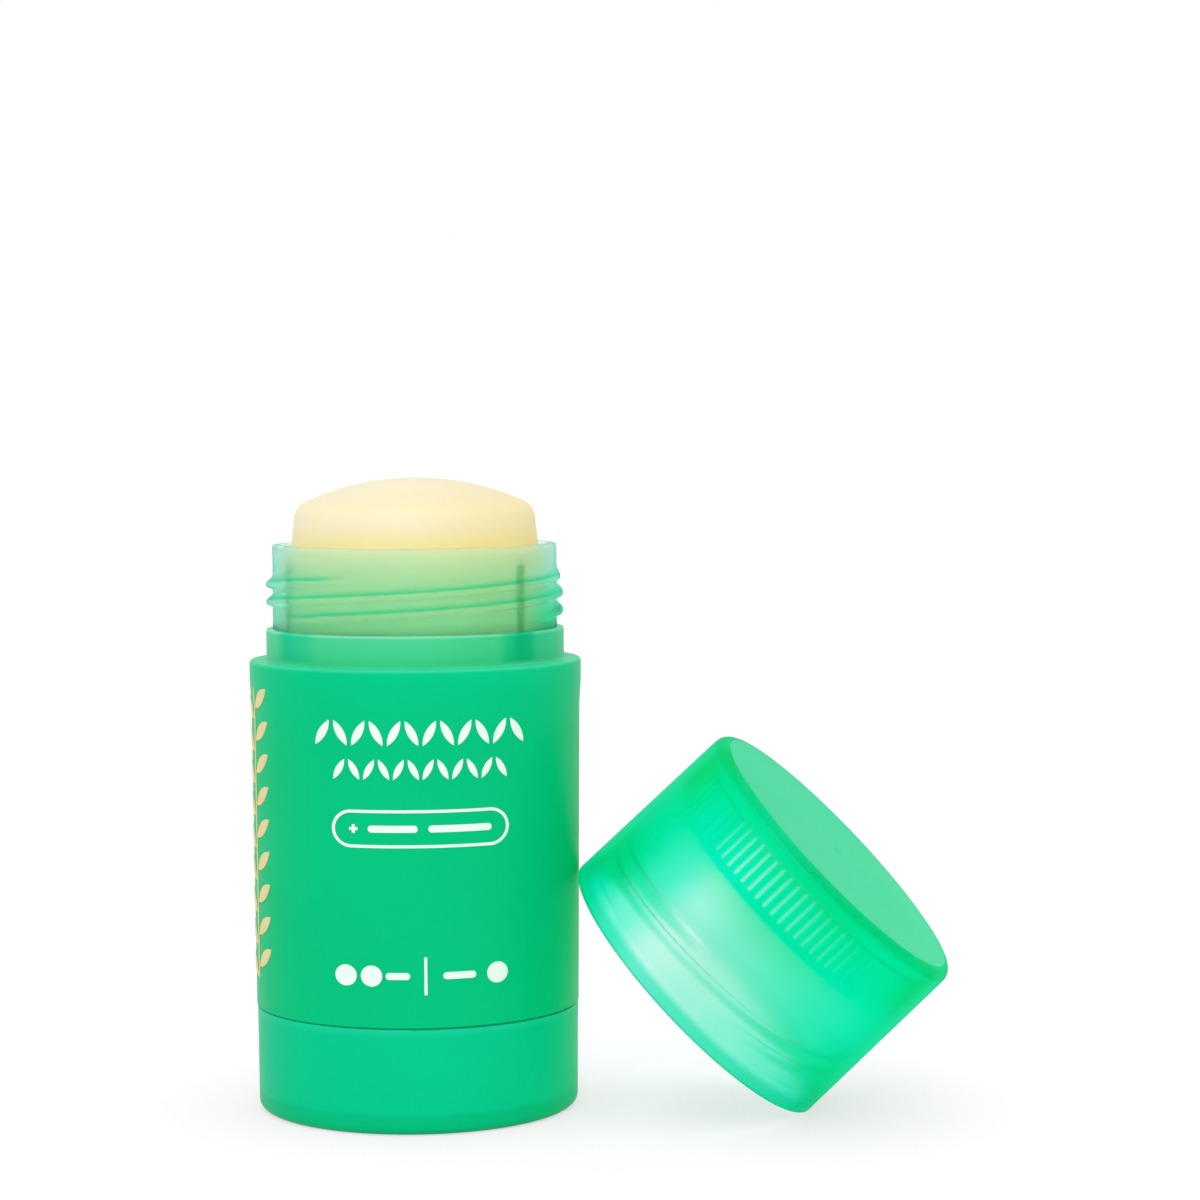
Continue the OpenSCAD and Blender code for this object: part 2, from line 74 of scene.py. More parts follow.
THREAD_LEAD = 6.24
NECK_THREAD = {"z": 57.75, "starts": [-161, -41, 79], "depth": 0.75, "up": 1.15, "down": 0.6, "sweep": 300}
CAP_THREAD = {"z": 3.81, "starts": [31, 151, 271], "depth": -0.8, "up": 0.6, "down": 1.1, "sweep": 240}
THREAD_CREST = 0.3
THREAD_TAPER = 36
THREAD_DIVE = 0.2

PLATFORM_Z = 25.4
LEDGE_Z = 65.9
BALM_R = 15.3
BALM_BORE_R = 3.9
BALM_BORE_TOP_Z = 60.9
DOME_R = 14.55
DOME_TOP_R = 14.15
DOME_SIDE_Z = 69.35
DOME_EDGE_R = 2.2
DOME_Z = 74.15
DOME_WAVES = [(0.03, 3, 0.8), (0.02, 5, 2.1)]

CAP_R = 19.5
CAP_TOP_R = 19.15
CAP_H = 23.6
CAP_ROOF_Z = 22.3
CAP_BORE_R = 17.8
CAP_INNER_TOP_R = 17.75
CAP_MOUTH_R = 18.15
CAP_MOUTH_H = 2.2
CAP_THREAD_TOP_Z = 11
CAP_ROUND_R = 1.3
CAP_RIM_ROUND = 0.3
CAP_RIBS = 90
CAP_RIB_H = 4.6
CAP_RIB_DEPTH = 0.35
CAP_LAND_W = 0.8
CAP_LAND_Z = 20.7
CAP_TURN = -10
CAP_LEAN = 44
CAP_AT = (32.703, -2.31, 13.90)

# Clear plastic of the cap
CAP_IOR = 1.08
CAP_SPECULAR = 0.3
CAP_ABSORPTION = (0.0, 0.95, 0.8, 1)
CAP_DENSITY = 200

# Camera, fitted to the outline in the photograph
PHOTO_PX = 1200
FOCAL_PX = 3202
SENSOR_MM = 36
CAMERA_AT = (0.0218, -0.3769, 0.0810)
CAMERA_PITCH = -3.25
CAMERA_ROLL = -0.30

# Light: strength of the white surroundings, and the lamp from above the front
WORLD_STRENGTH = 0.8
KEY_DIRECTION = (0.02, 0.75, -0.66)
KEY_STRENGTH = 0.8
KEY_ANGLE = 22

# Floor: share of the light that it shows in the picture, its glow there in the open and in a corner, where
# the lower glow is painted shade, and the openness from which it counts as open. In metres, how far off a
# corner is felt, its half width and height
FLOOR_SEEN = 0.15
FLOOR_LIFT = 0.885
FLOOR_PAINTED_SHADE_GLOW = 0.6
FLOOR_OPEN = 0.88
FLOOR_REACH = 0.035
FLOOR_HALF = 40
FLOOR_Z = -0.00002


# Profiles and lathed meshes

def ease(t):
    t = np.clip(t, 0, 1)
    return t * t * (3 - 2 * t)


def arc(r, z, radius, start, end, count):
    """Points of an arc about (r, z), angles in degrees from +r towards +z."""
    return [(r + radius * math.cos(math.radians(a)), z + radius * math.sin(math.radians(a)))
            for a in np.linspace(start, end, count)]


def fine(r0, z0, r1, z1, step):
    """Points along a straight wall, its ends included."""
    n = max(1, round(math.hypot(r1 - r0, z1 - z0) / step))
    return [(r0 + (r1 - r0) * i / n, z0 + (z1 - z0) * i / n) for i in range(n + 1)]


def thread_height(spec, z, angle):
    """Height of the screw ridges over the wall at heights z and angles in degrees."""
    total = np.zeros(np.broadcast(z, angle).shape)
    crest = THREAD_CREST / 2
    for start in spec["starts"]:
        along = (angle - start) % 360
        ends = np.minimum(ease(along / THREAD_TAPER), ease((spec["sweep"] - along) / THREAD_TAPER))
        size = (1 + THREAD_DIVE) * ends - THREAD_DIVE
        u = z - spec["z"] - THREAD_LEAD * along / 360
        above = ease((spec["up"] - u) / (spec["up"] - crest))
        below = ease((u + spec["down"]) / (spec["down"] - crest))
        total = np.maximum(total, above * below * np.clip(size, 0, 1))
    return total * spec["depth"]


def outward(profile, closed):
    """The profile in the order that makes the faces look outwards."""
    ring = profile if closed else profile + [(0, profile[-1][1]), (0, profile[0][1])]
    area = sum(a[0] * b[1] - b[0] * a[1] for a, b in zip(ring, ring[1:] + ring[:1]))
    return profile if area > 0 else profile[::-1]


def lathe(name, profile, angles, shape=None, closed=True):
    """A surface turned round Z. shape(r, z, angle) gives the radius at every point."""
    profile = outward(profile, closed)
    angle = np.asarray(angles, float)
    r = np.array([p[0] for p in profile])[:, None] + 0 * angle[None, :]
    z = np.array([p[1] for p in profile])[:, None] + 0 * angle[None, :]
    a = angle[None, :] + 0 * r
    if shape:
        r = shape(r, z, a)
    rows, cols = r.shape
    turn = np.radians(a)
    verts = np.stack([r * np.cos(turn), r * np.sin(turn), z], -1).reshape(-1, 3) * MM
    index = np.arange(rows * cols).reshape(rows, cols)
    ends = []
    if not closed:
        ends = [rows * cols, rows * cols + 1]
        verts = np.vstack([verts, [[0, 0, profile[0][1] * MM], [0, 0, profile[-1][1] * MM]]])
    nxt = np.roll(index, -1, axis=1)
    low, high = (index, np.roll(index, -1, axis=0)) if closed else (index[:-1], index[1:])
    low_n, high_n = (nxt, np.roll(nxt, -1, axis=0)) if closed else (nxt[:-1], nxt[1:])
    faces = np.stack([low, low_n, high_n, high], -1).reshape(-1, 4).tolist()
    if ends:
        faces += [[ends[0], int(nxt[0, j]), int(index[0, j])] for j in range(cols)]
        faces += [[ends[1], int(index[-1, j]), int(nxt[-1, j])] for j in range(cols)]
    mesh = bpy.data.meshes.new(name)
    mesh.from_pydata(verts.tolist(), [], faces)
    mesh.update()
    mesh.shade_smooth()
    mesh.set_sharp_from_angle(angle=math.radians(SHARP_ANGLE))
    obj = bpy.data.objects.new(name, mesh)
    bpy.context.scene.collection.objects.link(obj)
    return obj


def columns_with_edges(edges):
    """Even columns, with one more on each side of every edge so that it stays crisp."""
    extra = [(e + s * EDGE_GAP) % 360 for e in edges for s in (-1, 1)]
    base = [360 * i / COLUMNS for i in range(COLUMNS)]
    base = [b for b in base if all(abs((b - x + 180) % 360 - 180) > 0.2 for x in extra)]
    return sorted(base + extra)


# Shapes

def skirt_profile():
    """Outer skirt with its shoulder and collar, as one closed ring."""
    waist_in, seam_in = WAIST_R - SKIRT_WALL, SEAM_R - SKIRT_WALL
    under = SHOULDER_Z - SHOULDER_T
    line = [(SEAM_R - 0.1, SKIRT_Z), (SEAM_R, SKIRT_Z + 0.1)]
    line += fine(SEAM_R, SKIRT_Z + 0.5, WAIST_R, WAIST_Z, 1.2)
    line += [(WAIST_R + (SHOULDER_R - WAIST_R) * float(ease(t)), WAIST_Z + (FLARE_TOP_Z - WAIST_Z) * t)
             for t in np.linspace(0.08, 1, 12)]
    line += arc(SHOULDER_R - SHOULDER_ROUND, SHOULDER_Z - SHOULDER_ROUND, SHOULDER_ROUND, 0, 90, 6)
    line += arc(COLLAR_R + COLLAR_FOOT, SHOULDER_Z + COLLAR_FOOT, COLLAR_FOOT, -90, -180, 4)
    line += [(COLLAR_R, COLLAR_Z - 0.2), (COLLAR_R - 0.06, COLLAR_Z - 0.06), (COLLAR_R - 0.2, COLLAR_Z)]
    line += [(NECK_R + 0.02, COLLAR_Z), (NECK_R + 0.02, under), (waist_in, under)]
    return line + fine(waist_in, WAIST_Z, seam_in, SKIRT_Z, 2.4)


def neck_profile():
    """Threaded neck and the inner tube below it, as one closed ring."""
    low, high, depth = SPIGOT_GROOVE
    upper = fine(NECK_R, COLLAR_Z, NECK_R, RIM_Z - 0.35, 0.1)
    upper += arc(NECK_R - RIM_ROUND, RIM_Z - RIM_ROUND, RIM_ROUND, 0, 90, 6)
    upper += arc(BORE_R + RIM_ROUND, RIM_Z - RIM_ROUND, RIM_ROUND, 90, 180, 6)
    inner = fine(BORE_R, RIM_Z - 2 * RIM_ROUND, BORE_R, RIB_TOP_Z + 0.05, 0.4)
    inner += fine(BORE_R, RIB_TOP_Z - 0.05, BORE_R, TUBE_FLOOR_Z, 2.4)
    inner += [(HOLE_R, TUBE_FLOOR_Z), (HOLE_R, TUBE_UNDER_Z), (BORE_R, TUBE_UNDER_Z)]
    inner += [(BORE_R, high + 0.05), (BORE_R + depth, high), (BORE_R + depth, low), (BORE_R, low - 0.05)]
    inner += [(BORE_R, SKIRT_Z)]
    return upper + inner + fine(NECK_R, SKIRT_Z, NECK_R, COLLAR_Z - 1, 2.4)


def near_rib(angle, half_width):
    """True at the angles that lie on a guide rib of the tube."""
    half = math.degrees(half_width / BORE_R)
    near = np.zeros(angle.shape, bool)
    for rib in RIB_ANGLES:
        near |= np.abs((angle - rib + 180) % 360 - 180) < half
    return near


def rib_columns(half_width):
    half = math.degrees(half_width / BORE_R)
    return columns_with_edges([rib + s * half for rib in RIB_ANGLES for s in (-1, 1)])


def neck_shape(r, z, a):
    threaded = (r == NECK_R) & (z > COLLAR_Z) & (z < RIM_Z - RIM_ROUND)
    out = r + np.where(threaded, thread_height(NECK_THREAD, z, a), 0)
    ribbed = near_rib(a, RIB_W / 2) & (r == BORE_R) & (z >= TUBE_FLOOR_Z) & (z < RIB_TOP_Z)
    return np.where(ribbed, BORE_R - RIB_DEPTH, out)


def cap_profile():
    """Cap standing on its mouth, as an open line from the top's middle round the rim to the roof's middle."""
    def wall(z):
        return CAP_R + (CAP_TOP_R - CAP_R) * z / CAP_H
    rib_z = CAP_LAND_Z - CAP_RIB_H
    land_r = CAP_INNER_TOP_R - CAP_LAND_W
    outer = [(0.5, CAP_H - 0.16), (0.62, CAP_H - 0.02), (0.75, CAP_H)]
    outer += fine(1.5, CAP_H, CAP_TOP_R - CAP_ROUND_R - 0.4, CAP_H, 1.5)
    outer += arc(CAP_TOP_R - CAP_ROUND_R, CAP_H - CAP_ROUND_R, CAP_ROUND_R, 90, 0, 12)
    outer += [(wall(z), z) for z in np.linspace(CAP_H - 2, CAP_RIM_ROUND + 0.1, 24)]
    outer += arc(CAP_R - CAP_RIM_ROUND, CAP_RIM_ROUND, CAP_RIM_ROUND, 0, -90, 5)
    inner = [(CAP_MOUTH_R + 0.1, 0), (CAP_MOUTH_R, 0.1), (CAP_MOUTH_R, CAP_MOUTH_H)]
    inner += [(CAP_BORE_R, CAP_MOUTH_H + 0.3)]
    inner += fine(CAP_BORE_R, CAP_MOUTH_H + 0.4, CAP_BORE_R, CAP_THREAD_TOP_Z, 0.1)
    inner += fine(CAP_BORE_R, CAP_THREAD_TOP_Z + 0.5, CAP_INNER_TOP_R, rib_z - 0.04, 0.8)
    inner += fine(CAP_INNER_TOP_R, rib_z + 0.04, CAP_INNER_TOP_R, CAP_LAND_Z - 0.02, 0.9)
    inner += [(land_r + 0.1, CAP_LAND_Z), (land_r, CAP_LAND_Z + 0.1)]
    inner += arc(land_r - 0.3, CAP_ROOF_Z - 0.3, 0.3, 0, 90, 4) + [(9, CAP_ROOF_Z), (1, CAP_ROOF_Z)]
    return outer + inner


def cap_shape(r, z, a):
    inside = (r <= CAP_BORE_R) & (r >= CAP_INNER_TOP_R) & (z > CAP_MOUTH_H) & (z < CAP_LAND_Z)
    out = r + np.where(inside & (z < CAP_THREAD_TOP_Z + 0.2), thread_height(CAP_THREAD, z, a), 0)
    pitch = 360 / CAP_RIBS
    tooth = np.abs((a / pitch + 0.5) % 1 - 0.5)
    rib = CAP_RIB_DEPTH * np.clip(1 - tooth / 0.3, 0, 1)
    return np.where(inside & (z > CAP_LAND_Z - CAP_RIB_H), CAP_INNER_TOP_R - rib, out)


def make_cap():
    """Cap with columns on the foot and crest of every rib. Its flat top has a material of its own."""
    angles = [i * 360 / CAP_RIBS + d * 360 / CAP_RIBS for i in range(CAP_RIBS) for d in (0, 0.3, 0.5, 0.7)]
    cap = lathe("cap_shell", cap_profile(), angles, cap_shape, closed=False)
    turn = Matrix.Rotation(math.radians(CAP_TURN), 4, "Z")
    lean = Matrix.Rotation(math.radians(90 - CAP_LEAN), 4, "Y")
    cap.matrix_world = Matrix.Translation(Vector(CAP_AT) * MM) @ turn @ lean
    dress(cap, cap_material(), cap_top_material())
    for face in cap.data.polygons:
        flat = face.center.z > (CAP_H - 0.2) * MM and face.center.xy.length < (CAP_TOP_R - CAP_ROUND_R) * MM
        face.material_index = 1 if flat else 0
    return cap


def dome_profile():
    """Crown, rounded edge and drafted side of the dome, which meet without a corner."""
    edge_x = DOME_TOP_R - DOME_EDGE_R
    rise = DOME_Z - DOME_SIDE_Z
    crown = (edge_x ** 2 + rise ** 2 - DOME_EDGE_R ** 2) / (2 * (rise - DOME_EDGE_R))
    draft = math.degrees(math.atan((DOME_R - DOME_TOP_R) / (DOME_SIDE_Z - LEDGE_Z)))
    meet = math.degrees(math.atan2(DOME_SIDE_Z - (DOME_Z - crown), edge_x))
    top = [(crown * math.sin(t), DOME_Z - crown + crown * math.cos(t))
           for t in np.linspace(0.02, math.radians(90 - meet), 40)]
    return top + arc(edge_x, DOME_SIDE_Z, DOME_EDGE_R, meet, draft, 14)[1:]


def make_balm():
    """Balm with a slightly uneven dome, a ledge, and notches along the tube's ribs."""
    profile = dome_profile()
    profile += fine(*profile[-1], DOME_R, LEDGE_Z + 0.15, 0.3)[1:]
    profile += [(DOME_R + 0.15, LEDGE_Z)] + arc(BALM_R - 0.3, LEDGE_Z - 0.3, 0.3, 90, 0, 5)
    profile += fine(BALM_R, 65, BALM_R, PLATFORM_Z + 0.05, 2) + [(BALM_BORE_R, PLATFORM_Z)]
    profile += fine(BALM_BORE_R, PLATFORM_Z + 1, BALM_BORE_R, BALM_BORE_TOP_Z, 4)

    def shape(r, z, a):
        notch = near_rib(a, RIB_W / 2 + SLIDE_GAP) & (r > DOME_R + 0.2) & (z < RIB_TOP_Z + SLIDE_GAP)
        turn = np.radians(a)
        wave = sum(height * np.sin(count * turn + shift) for height, count, shift in DOME_WAVES)
        soft = np.where(z > LEDGE_Z + 0.2, wave * np.clip((DOME_Z - z) / 4, 0, 1), 0)
        return np.where(notch, BORE_R - RIB_DEPTH - SLIDE_GAP, r + soft)
    return lathe("balm_body", profile, rib_columns(RIB_W / 2 + SLIDE_GAP), shape, closed=False)


# Materials

def new_material(name):
    material = bpy.data.materials.new(name)
    material.use_nodes = True
    tree = material.node_tree
    return material, tree, tree.nodes["Principled BSDF"]


def add(tree, kind, inputs=None, **props):
    """A new node. inputs holds values or the outputs to link, and props its settings."""
    node = tree.nodes.new(kind)
    for key, value in props.items():
        setattr(node, key, value)
    for key, value in (inputs or {}).items():
        if isinstance(value, bpy.types.NodeSocket):
            tree.links.new(value, node.inputs[key])
        else:
            node.inputs[key].default_value = value
    return node


def linear(srgb):
    """Linear colour of an sRGB colour written from 0 to 255."""
    return [((c / 255 + 0.055) / 1.055) ** 2.4 if c > 10 else c / 255 / 12.92 for c in srgb] + [1]


def object_coords(tree):
    return add(tree, "ShaderNodeTexCoord").outputs["Object"]


def axis_value(tree, axis="Z"):
    split = add(tree, "ShaderNodeSeparateXYZ", {0: object_coords(tree)})
    return split.outputs[axis]


def noise(tree, scale, detail):
    tex = add(tree, "ShaderNodeTexNoise", {"Vector": object_coords(tree), "Scale": scale, "Detail": detail})
    return tex.outputs["Fac"]


def bands(tree, value, low, high, stops):
    """A colour that changes with value from low to high. stops are (place from 0 to 1, sRGB)."""
    span = add(tree, "ShaderNodeMapRange", {"Value": value, "From Min": low, "From Max": high})
    ramp = add(tree, "ShaderNodeValToRGB", {"Fac": span.outputs[0]})
    ramp.color_ramp.interpolation = "EASE"
    elements = ramp.color_ramp.elements
    while len(elements) < len(stops):
        elements.new(0.5)
    for element, (at, _) in zip(elements, stops):
        element.position = at
    for element, (_, colour) in zip(elements, stops):
        element.color = linear(colour)
    return ramp.outputs["Color"]


def soft_noise(tree, scale, low, high):
    """A value that drifts between low and high. The noise itself mostly lies between 0.3 and 0.7."""
    return add(tree, "ShaderNodeMapRange", {"Value": noise(tree, scale, 3), "From Min": 0.3, "From Max": 0.7,
                                            "To Min": low, "To Max": high}).outputs[0]


def varied(tree, colour, amount, scale):
    """The colour, made a little lighter and darker by soft noise."""
    level = soft_noise(tree, scale, 1 - amount, 1 + amount)
    return add(tree, "ShaderNodeHueSaturation", {"Color": colour, "Value": level}).outputs["Color"]


def surface(tree, shader, scale, low, high, bump_scale, bump_height):
    """Roughness from low to high by soft noise, and a fine bump in metres."""
    tree.links.new(soft_noise(tree, scale, low, high), shader.inputs["Roughness"])
    bump = add(tree, "ShaderNodeBump", {"Height": noise(tree, bump_scale, 4), "Distance": bump_height,
                                        "Strength": 1.0})
    tree.links.new(bump.outputs[0], shader.inputs["Normal"])


def radius_value(tree):
    """Distance from the object's own Z axis."""
    split = add(tree, "ShaderNodeSeparateXYZ", {0: object_coords(tree)})
    flat = add(tree, "ShaderNodeCombineXYZ", {"X": split.outputs["X"], "Y": split.outputs["Y"]})
    return add(tree, "ShaderNodeVectorMath", {0: flat.outputs[0]}, operation="LENGTH").outputs["Value"]


def plain_colour(tree, srgb):
    rgb = add(tree, "ShaderNodeRGB")
    rgb.outputs[0].default_value = linear(srgb)
    return rgb.outputs[0]


def mixed(tree, factor, first, second, blend="MIX"):
    """The two colours mixed by a factor. With no factor the blend is whole."""
    mix = add(tree, "ShaderNodeMix", data_type="RGBA", blend_type=blend)
    if factor is None:
        mix.inputs["Factor"].default_value = 1.0
    else:
        tree.links.new(factor, mix.inputs["Factor"])
    tree.links.new(first, mix.inputs["A"])
    tree.links.new(second, mix.inputs["B"])
    return mix.outputs["Result"]


def fade(tree, value, start, end):
    """0 where the value is at start and 1 at end, both in millimetres."""
    span = add(tree, "ShaderNodeMapRange", {"Value": value, "From Min": start * MM, "From Max": end * MM})
    return span.outputs[0]


def product(tree, first, *others):
    """All the values multiplied."""
    for other in others:
        first = add(tree, "ShaderNodeMath", {0: first, 1: other}, operation="MULTIPLY").outputs[0]
    return first


def make_clear(tree, shader, transmission, ior, specular, absorption, density):
    """Clear plastic that grows deeper in colour where it is thick."""
    shader.inputs["Transmission Weight"].default_value = transmission
    shader.inputs["IOR"].default_value = ior
    shader.inputs["Specular IOR Level"].default_value = specular
    volume = add(tree, "ShaderNodeVolumeAbsorption")
    volume.inputs["Color"].default_value = absorption
    volume.inputs["Density"].default_value = density
    tree.links.new(volume.outputs[0], tree.nodes["Material Output"].inputs["Volume"])


def satin_plastic(tree, shader, colour):
    """Soft satin surface of the skirt and the knob."""
    tree.links.new(varied(tree, colour, amount=0.02, scale=60), shader.inputs["Base Color"])
    surface(tree, shader, scale=150, low=0.34, high=0.42, bump_scale=900, bump_height=0.00001)
    shader.inputs["Specular IOR Level"].default_value = 0.04


def skirt_material():
    """Painted highlights on the edges of shoulder and collar. Deeper streaks where the tube's ribs stand
    behind the collar, partly the ribs' plastic and partly their painted shade, and a little painted shade
    towards the right.
    """
    material, tree, shader = new_material("barrel_skirt_plastic")
    # Painted highlights: the pale stops at the shoulder's edge and at the collar's top edge
    colour = bands(tree, axis_value(tree), SKIRT_Z * MM, COLLAR_Z * MM,
                   [(0, (0, 197, 128)), (0.72, (0, 198, 128)), (0.86, (0, 201, 134)),
                    (0.908, (0, 203, 138)), (0.914, (50, 214, 160)), (0.918, (70, 216, 162)),
                    (0.925, (62, 206, 142)), (0.993, (76, 211, 149)), (0.998, (135, 230, 185))])
    # Painted by X across the collar: deeper streaks where the ribs stand behind, partly their plastic and
    # partly painted shade, and painted shade towards the right
    ribs = bands(tree, axis_value(tree, "X"), -COLLAR_R * MM, COLLAR_R * MM,
                 [(0, (255, 255, 255)), (0.05, (255, 255, 255)), (0.09, (90, 240, 245)),
                  (0.14, (150, 246, 248)), (0.22, (250, 254, 254)), (0.5, (255, 255, 252)),
                  (0.78, (230, 248, 238)), (0.83, (110, 234, 220)), (0.86, (10, 222, 205)),
                  (0.89, (30, 224, 208)), (0.92, (180, 240, 240)), (1, (210, 246, 248))])
    collar = fade(tree, axis_value(tree), SHOULDER_Z + 0.1, SHOULDER_Z + 0.6)
    colour = mixed(tree, collar, colour, mixed(tree, None, colour, ribs, "MULTIPLY"))
    satin_plastic(tree, shader, colour)
    return material


def neck_material():
    """Clear wall, paler towards the rim as painted light, greener at the right as painted shade, and on the
    threads greener with thickness, with painted shade on their upper flanks and painted highlights on their
    lower flanks and crests.
    """
    material, tree, shader = new_material("barrel_neck_plastic")
    z = axis_value(tree)
    # Painted light: the wall is paler towards the rim, where light comes in at the top
    wall = bands(tree, z, COLLAR_Z * MM, RIM_Z * MM,
                 [(0, (190, 250, 234)), (0.4, (208, 250, 241)), (1, (236, 252, 253))])
    # Painted shade and highlight on the threads: faces turned up get the deeper colour, faces turned down and
    # the crests the pale one
    lower, upper = plain_colour(tree, (235, 255, 253)), plain_colour(tree, (84, 234, 208))
    crest, rib = plain_colour(tree, (225, 255, 248)), plain_colour(tree, (150, 245, 190))
    facing = add(tree, "ShaderNodeSeparateXYZ", {0: add(tree, "ShaderNodeTexCoord").outputs["Normal"]})
    up = add(tree, "ShaderNodeMapRange", {"Value": facing.outputs["Z"], "From Min": 0.0, "From Max": 0.3})
    ridge = mixed(tree, up.outputs[0], lower, upper)
    radius = radius_value(tree)
    crest_r = NECK_R + NECK_THREAD["depth"]
    ridge = mixed(tree, fade(tree, radius, crest_r - 0.09, crest_r - 0.01), ridge, crest)
    colour = mixed(tree, fade(tree, radius, NECK_R, NECK_R + 0.5), wall, ridge)
    colour = mixed(tree, fade(tree, radius, BORE_R - 0.05, BORE_R - 0.2), colour, rib)
    # Painted shade: greener low on the right side of the neck
    side = product(tree, fade(tree, axis_value(tree, "X"), 0.82 * NECK_R, 0.98 * NECK_R),
                   fade(tree, z, 63, 57.5))
    colour = mixed(tree, side, colour, plain_colour(tree, (90, 250, 205)))
    tree.links.new(varied(tree, colour, amount=0.01, scale=80), shader.inputs["Base Color"])
    surface(tree, shader, scale=150, low=0.46, high=0.54, bump_scale=300, bump_height=0.000004)
    make_clear(tree, shader, transmission=0.9, ior=1.1, specular=0.5, absorption=(0.0, 0.97, 0.75, 1),
               density=75)
    return material


def knob_material():
    """Deeper at the rounded foot, and paler at the top edge as a painted highlight."""
    material, tree, shader = new_material("knob_plastic")
    # Painted highlight: the pale stop at the top edge
    colour = bands(tree, axis_value(tree), 0, KNOB_H * MM,
                   [(0, (0, 192, 128)), (0.16, (0, 193, 130)), (0.22, (0, 203, 144)),
                    (0.9, (0, 203, 145)), (1, (20, 210, 158))])
    satin_plastic(tree, shader, colour)
    return material


def cap_wall_colour(tree):
    """Paler towards the mouth, as painted light that comes in through it, and on the left of the front, as a
    painted highlight; deeper at the sides and at the rounded corner; painted highlights on the rib crests.
    """
    z, radius, x = axis_value(tree), radius_value(tree), axis_value(tree, "X")
    # Painted light: paler from the mouth up, where light comes in through the mouth
    along = bands(tree, z, 0, CAP_H * MM,
                  [(0, (112, 238, 210)), (0.045, (112, 238, 210)), (0.085, (215, 250, 238)),
                   (0.27, (228, 251, 240)), (0.36, (255, 255, 255)), (0.5, (255, 255, 255)),
                   (0.94, (240, 255, 250)), (0.96, (5, 234, 196)), (1, (5, 230, 190))])
    # Painted highlight on the left of the front, deeper towards both sides
    across = bands(tree, x, -CAP_R * MM, CAP_R * MM,
                   [(0, (20, 245, 215)), (0.08, (12, 246, 215)), (0.2, (165, 252, 238)),
                    (0.325, (255, 255, 255)), (0.5, (217, 249, 240)), (0.65, (190, 249, 236)),
                    (0.8, (155, 249, 232)), (0.9, (122, 250, 232)), (0.98, (5, 250, 222))])
    colour = mixed(tree, None, along, across, "MULTIPLY")
    rib_z = CAP_LAND_Z - CAP_RIB_H
    ribbed = product(tree, fade(tree, radius, CAP_MOUTH_R + 0.35, CAP_MOUTH_R - 0.15),
                     fade(tree, z, CAP_THREAD_TOP_Z, rib_z - 1),
                     fade(tree, z, CAP_ROOF_Z - 0.05, CAP_ROOF_Z - 0.15))
    from_middle = add(tree, "ShaderNodeMath", {0: x}, operation="ABSOLUTE").outputs[0]
    between = mixed(tree, fade(tree, from_middle, 0.3 * CAP_R, 0.8 * CAP_R),
                    plain_colour(tree, (0, 232, 160)), plain_colour(tree, (0, 246, 205)))
    colour = mixed(tree, ribbed, colour, between)
    # Painted highlights on the rib crests, only on the left of the front
    crest = product(tree, fade(tree, radius, CAP_INNER_TOP_R - 0.1, CAP_INNER_TOP_R - 0.3),
                    fade(tree, z, rib_z - 0.2, rib_z), fade(tree, z, CAP_LAND_Z + 0.1, CAP_LAND_Z),
                    fade(tree, x, 0.5 * CAP_R, -0.35 * CAP_R), fade(tree, x, -0.55 * CAP_R, -0.35 * CAP_R))
    return mixed(tree, crest, colour, plain_colour(tree, (175, 252, 226)))


def cap_material():
    """Clear, frosted wall."""
    material, tree, shader = new_material("cap_plastic")
    colour = varied(tree, cap_wall_colour(tree), amount=0.01, scale=60)
    tree.links.new(colour, shader.inputs["Base Color"])
    surface(tree, shader, scale=120, low=0.54, high=0.62, bump_scale=300, bump_height=0.000002)
    make_clear(tree, shader, 1.0, CAP_IOR, CAP_SPECULAR, CAP_ABSORPTION, CAP_DENSITY)
    return material


def cap_top_material():
    """Flat top, more frosted than the wall."""
    material, tree, shader = new_material("cap_top_plastic")
    colour = varied(tree, plain_colour(tree, (84, 250, 190)), amount=0.01, scale=60)
    tree.links.new(colour, shader.inputs["Base Color"])
    surface(tree, shader, scale=120, low=0.4, high=0.48, bump_scale=300, bump_height=0.000002)
    make_clear(tree, shader, 0.3, CAP_IOR, CAP_SPECULAR, CAP_ABSORPTION, CAP_DENSITY)
    return material


def balm_material():
    """Yellower at the foot of the dome and at the right, as painted shade."""
    material, tree, shader = new_material("balm_wax")
    # Painted shade: yellower towards the foot of the dome
    colour = bands(tree, axis_value(tree), (RIM_Z - 1) * MM, DOME_Z * MM,
                   [(0, (250, 228, 158)), (0.15, (250, 232, 170)), (0.45, (252, 237, 202)),
                    (0.65, (252, 236, 196)), (1, (252, 238, 202))])
    # Painted shade: yellower towards the right
    right_painted_shade = mixed(tree, None, colour, plain_colour(tree, (252, 247, 222)), "MULTIPLY")
    colour = mixed(tree, fade(tree, axis_value(tree, "X"), 0, DOME_R), colour, right_painted_shade)
    tree.links.new(varied(tree, colour, amount=0.015, scale=90), shader.inputs["Base Color"])
    surface(tree, shader, scale=200, low=0.42, high=0.52, bump_scale=500, bump_height=0.00002)
    shader.inputs["Subsurface Weight"].default_value = 0.5
    shader.inputs["Subsurface Radius"].default_value = (1.0, 0.75, 0.3)
    shader.inputs["Subsurface Scale"].default_value = 0.003
    shader.inputs["Specular IOR Level"].default_value = 0.3
    return material


def plain_material(name, srgb, roughness):
    material, tree, shader = new_material(name)
    colour = varied(tree, plain_colour(tree, srgb), amount=0.02, scale=400)
    tree.links.new(colour, shader.inputs["Base Color"])
    surface(tree, shader, scale=300, low=roughness, high=roughness + 0.08, bump_scale=1500,
            bump_height=0.000004)
    shader.inputs["Specular IOR Level"].default_value = 0.3
    return material


def dress(obj, *materials):
    obj.data.materials.clear()
    for material in materials:
        obj.data.materials.append(material)


# Scene

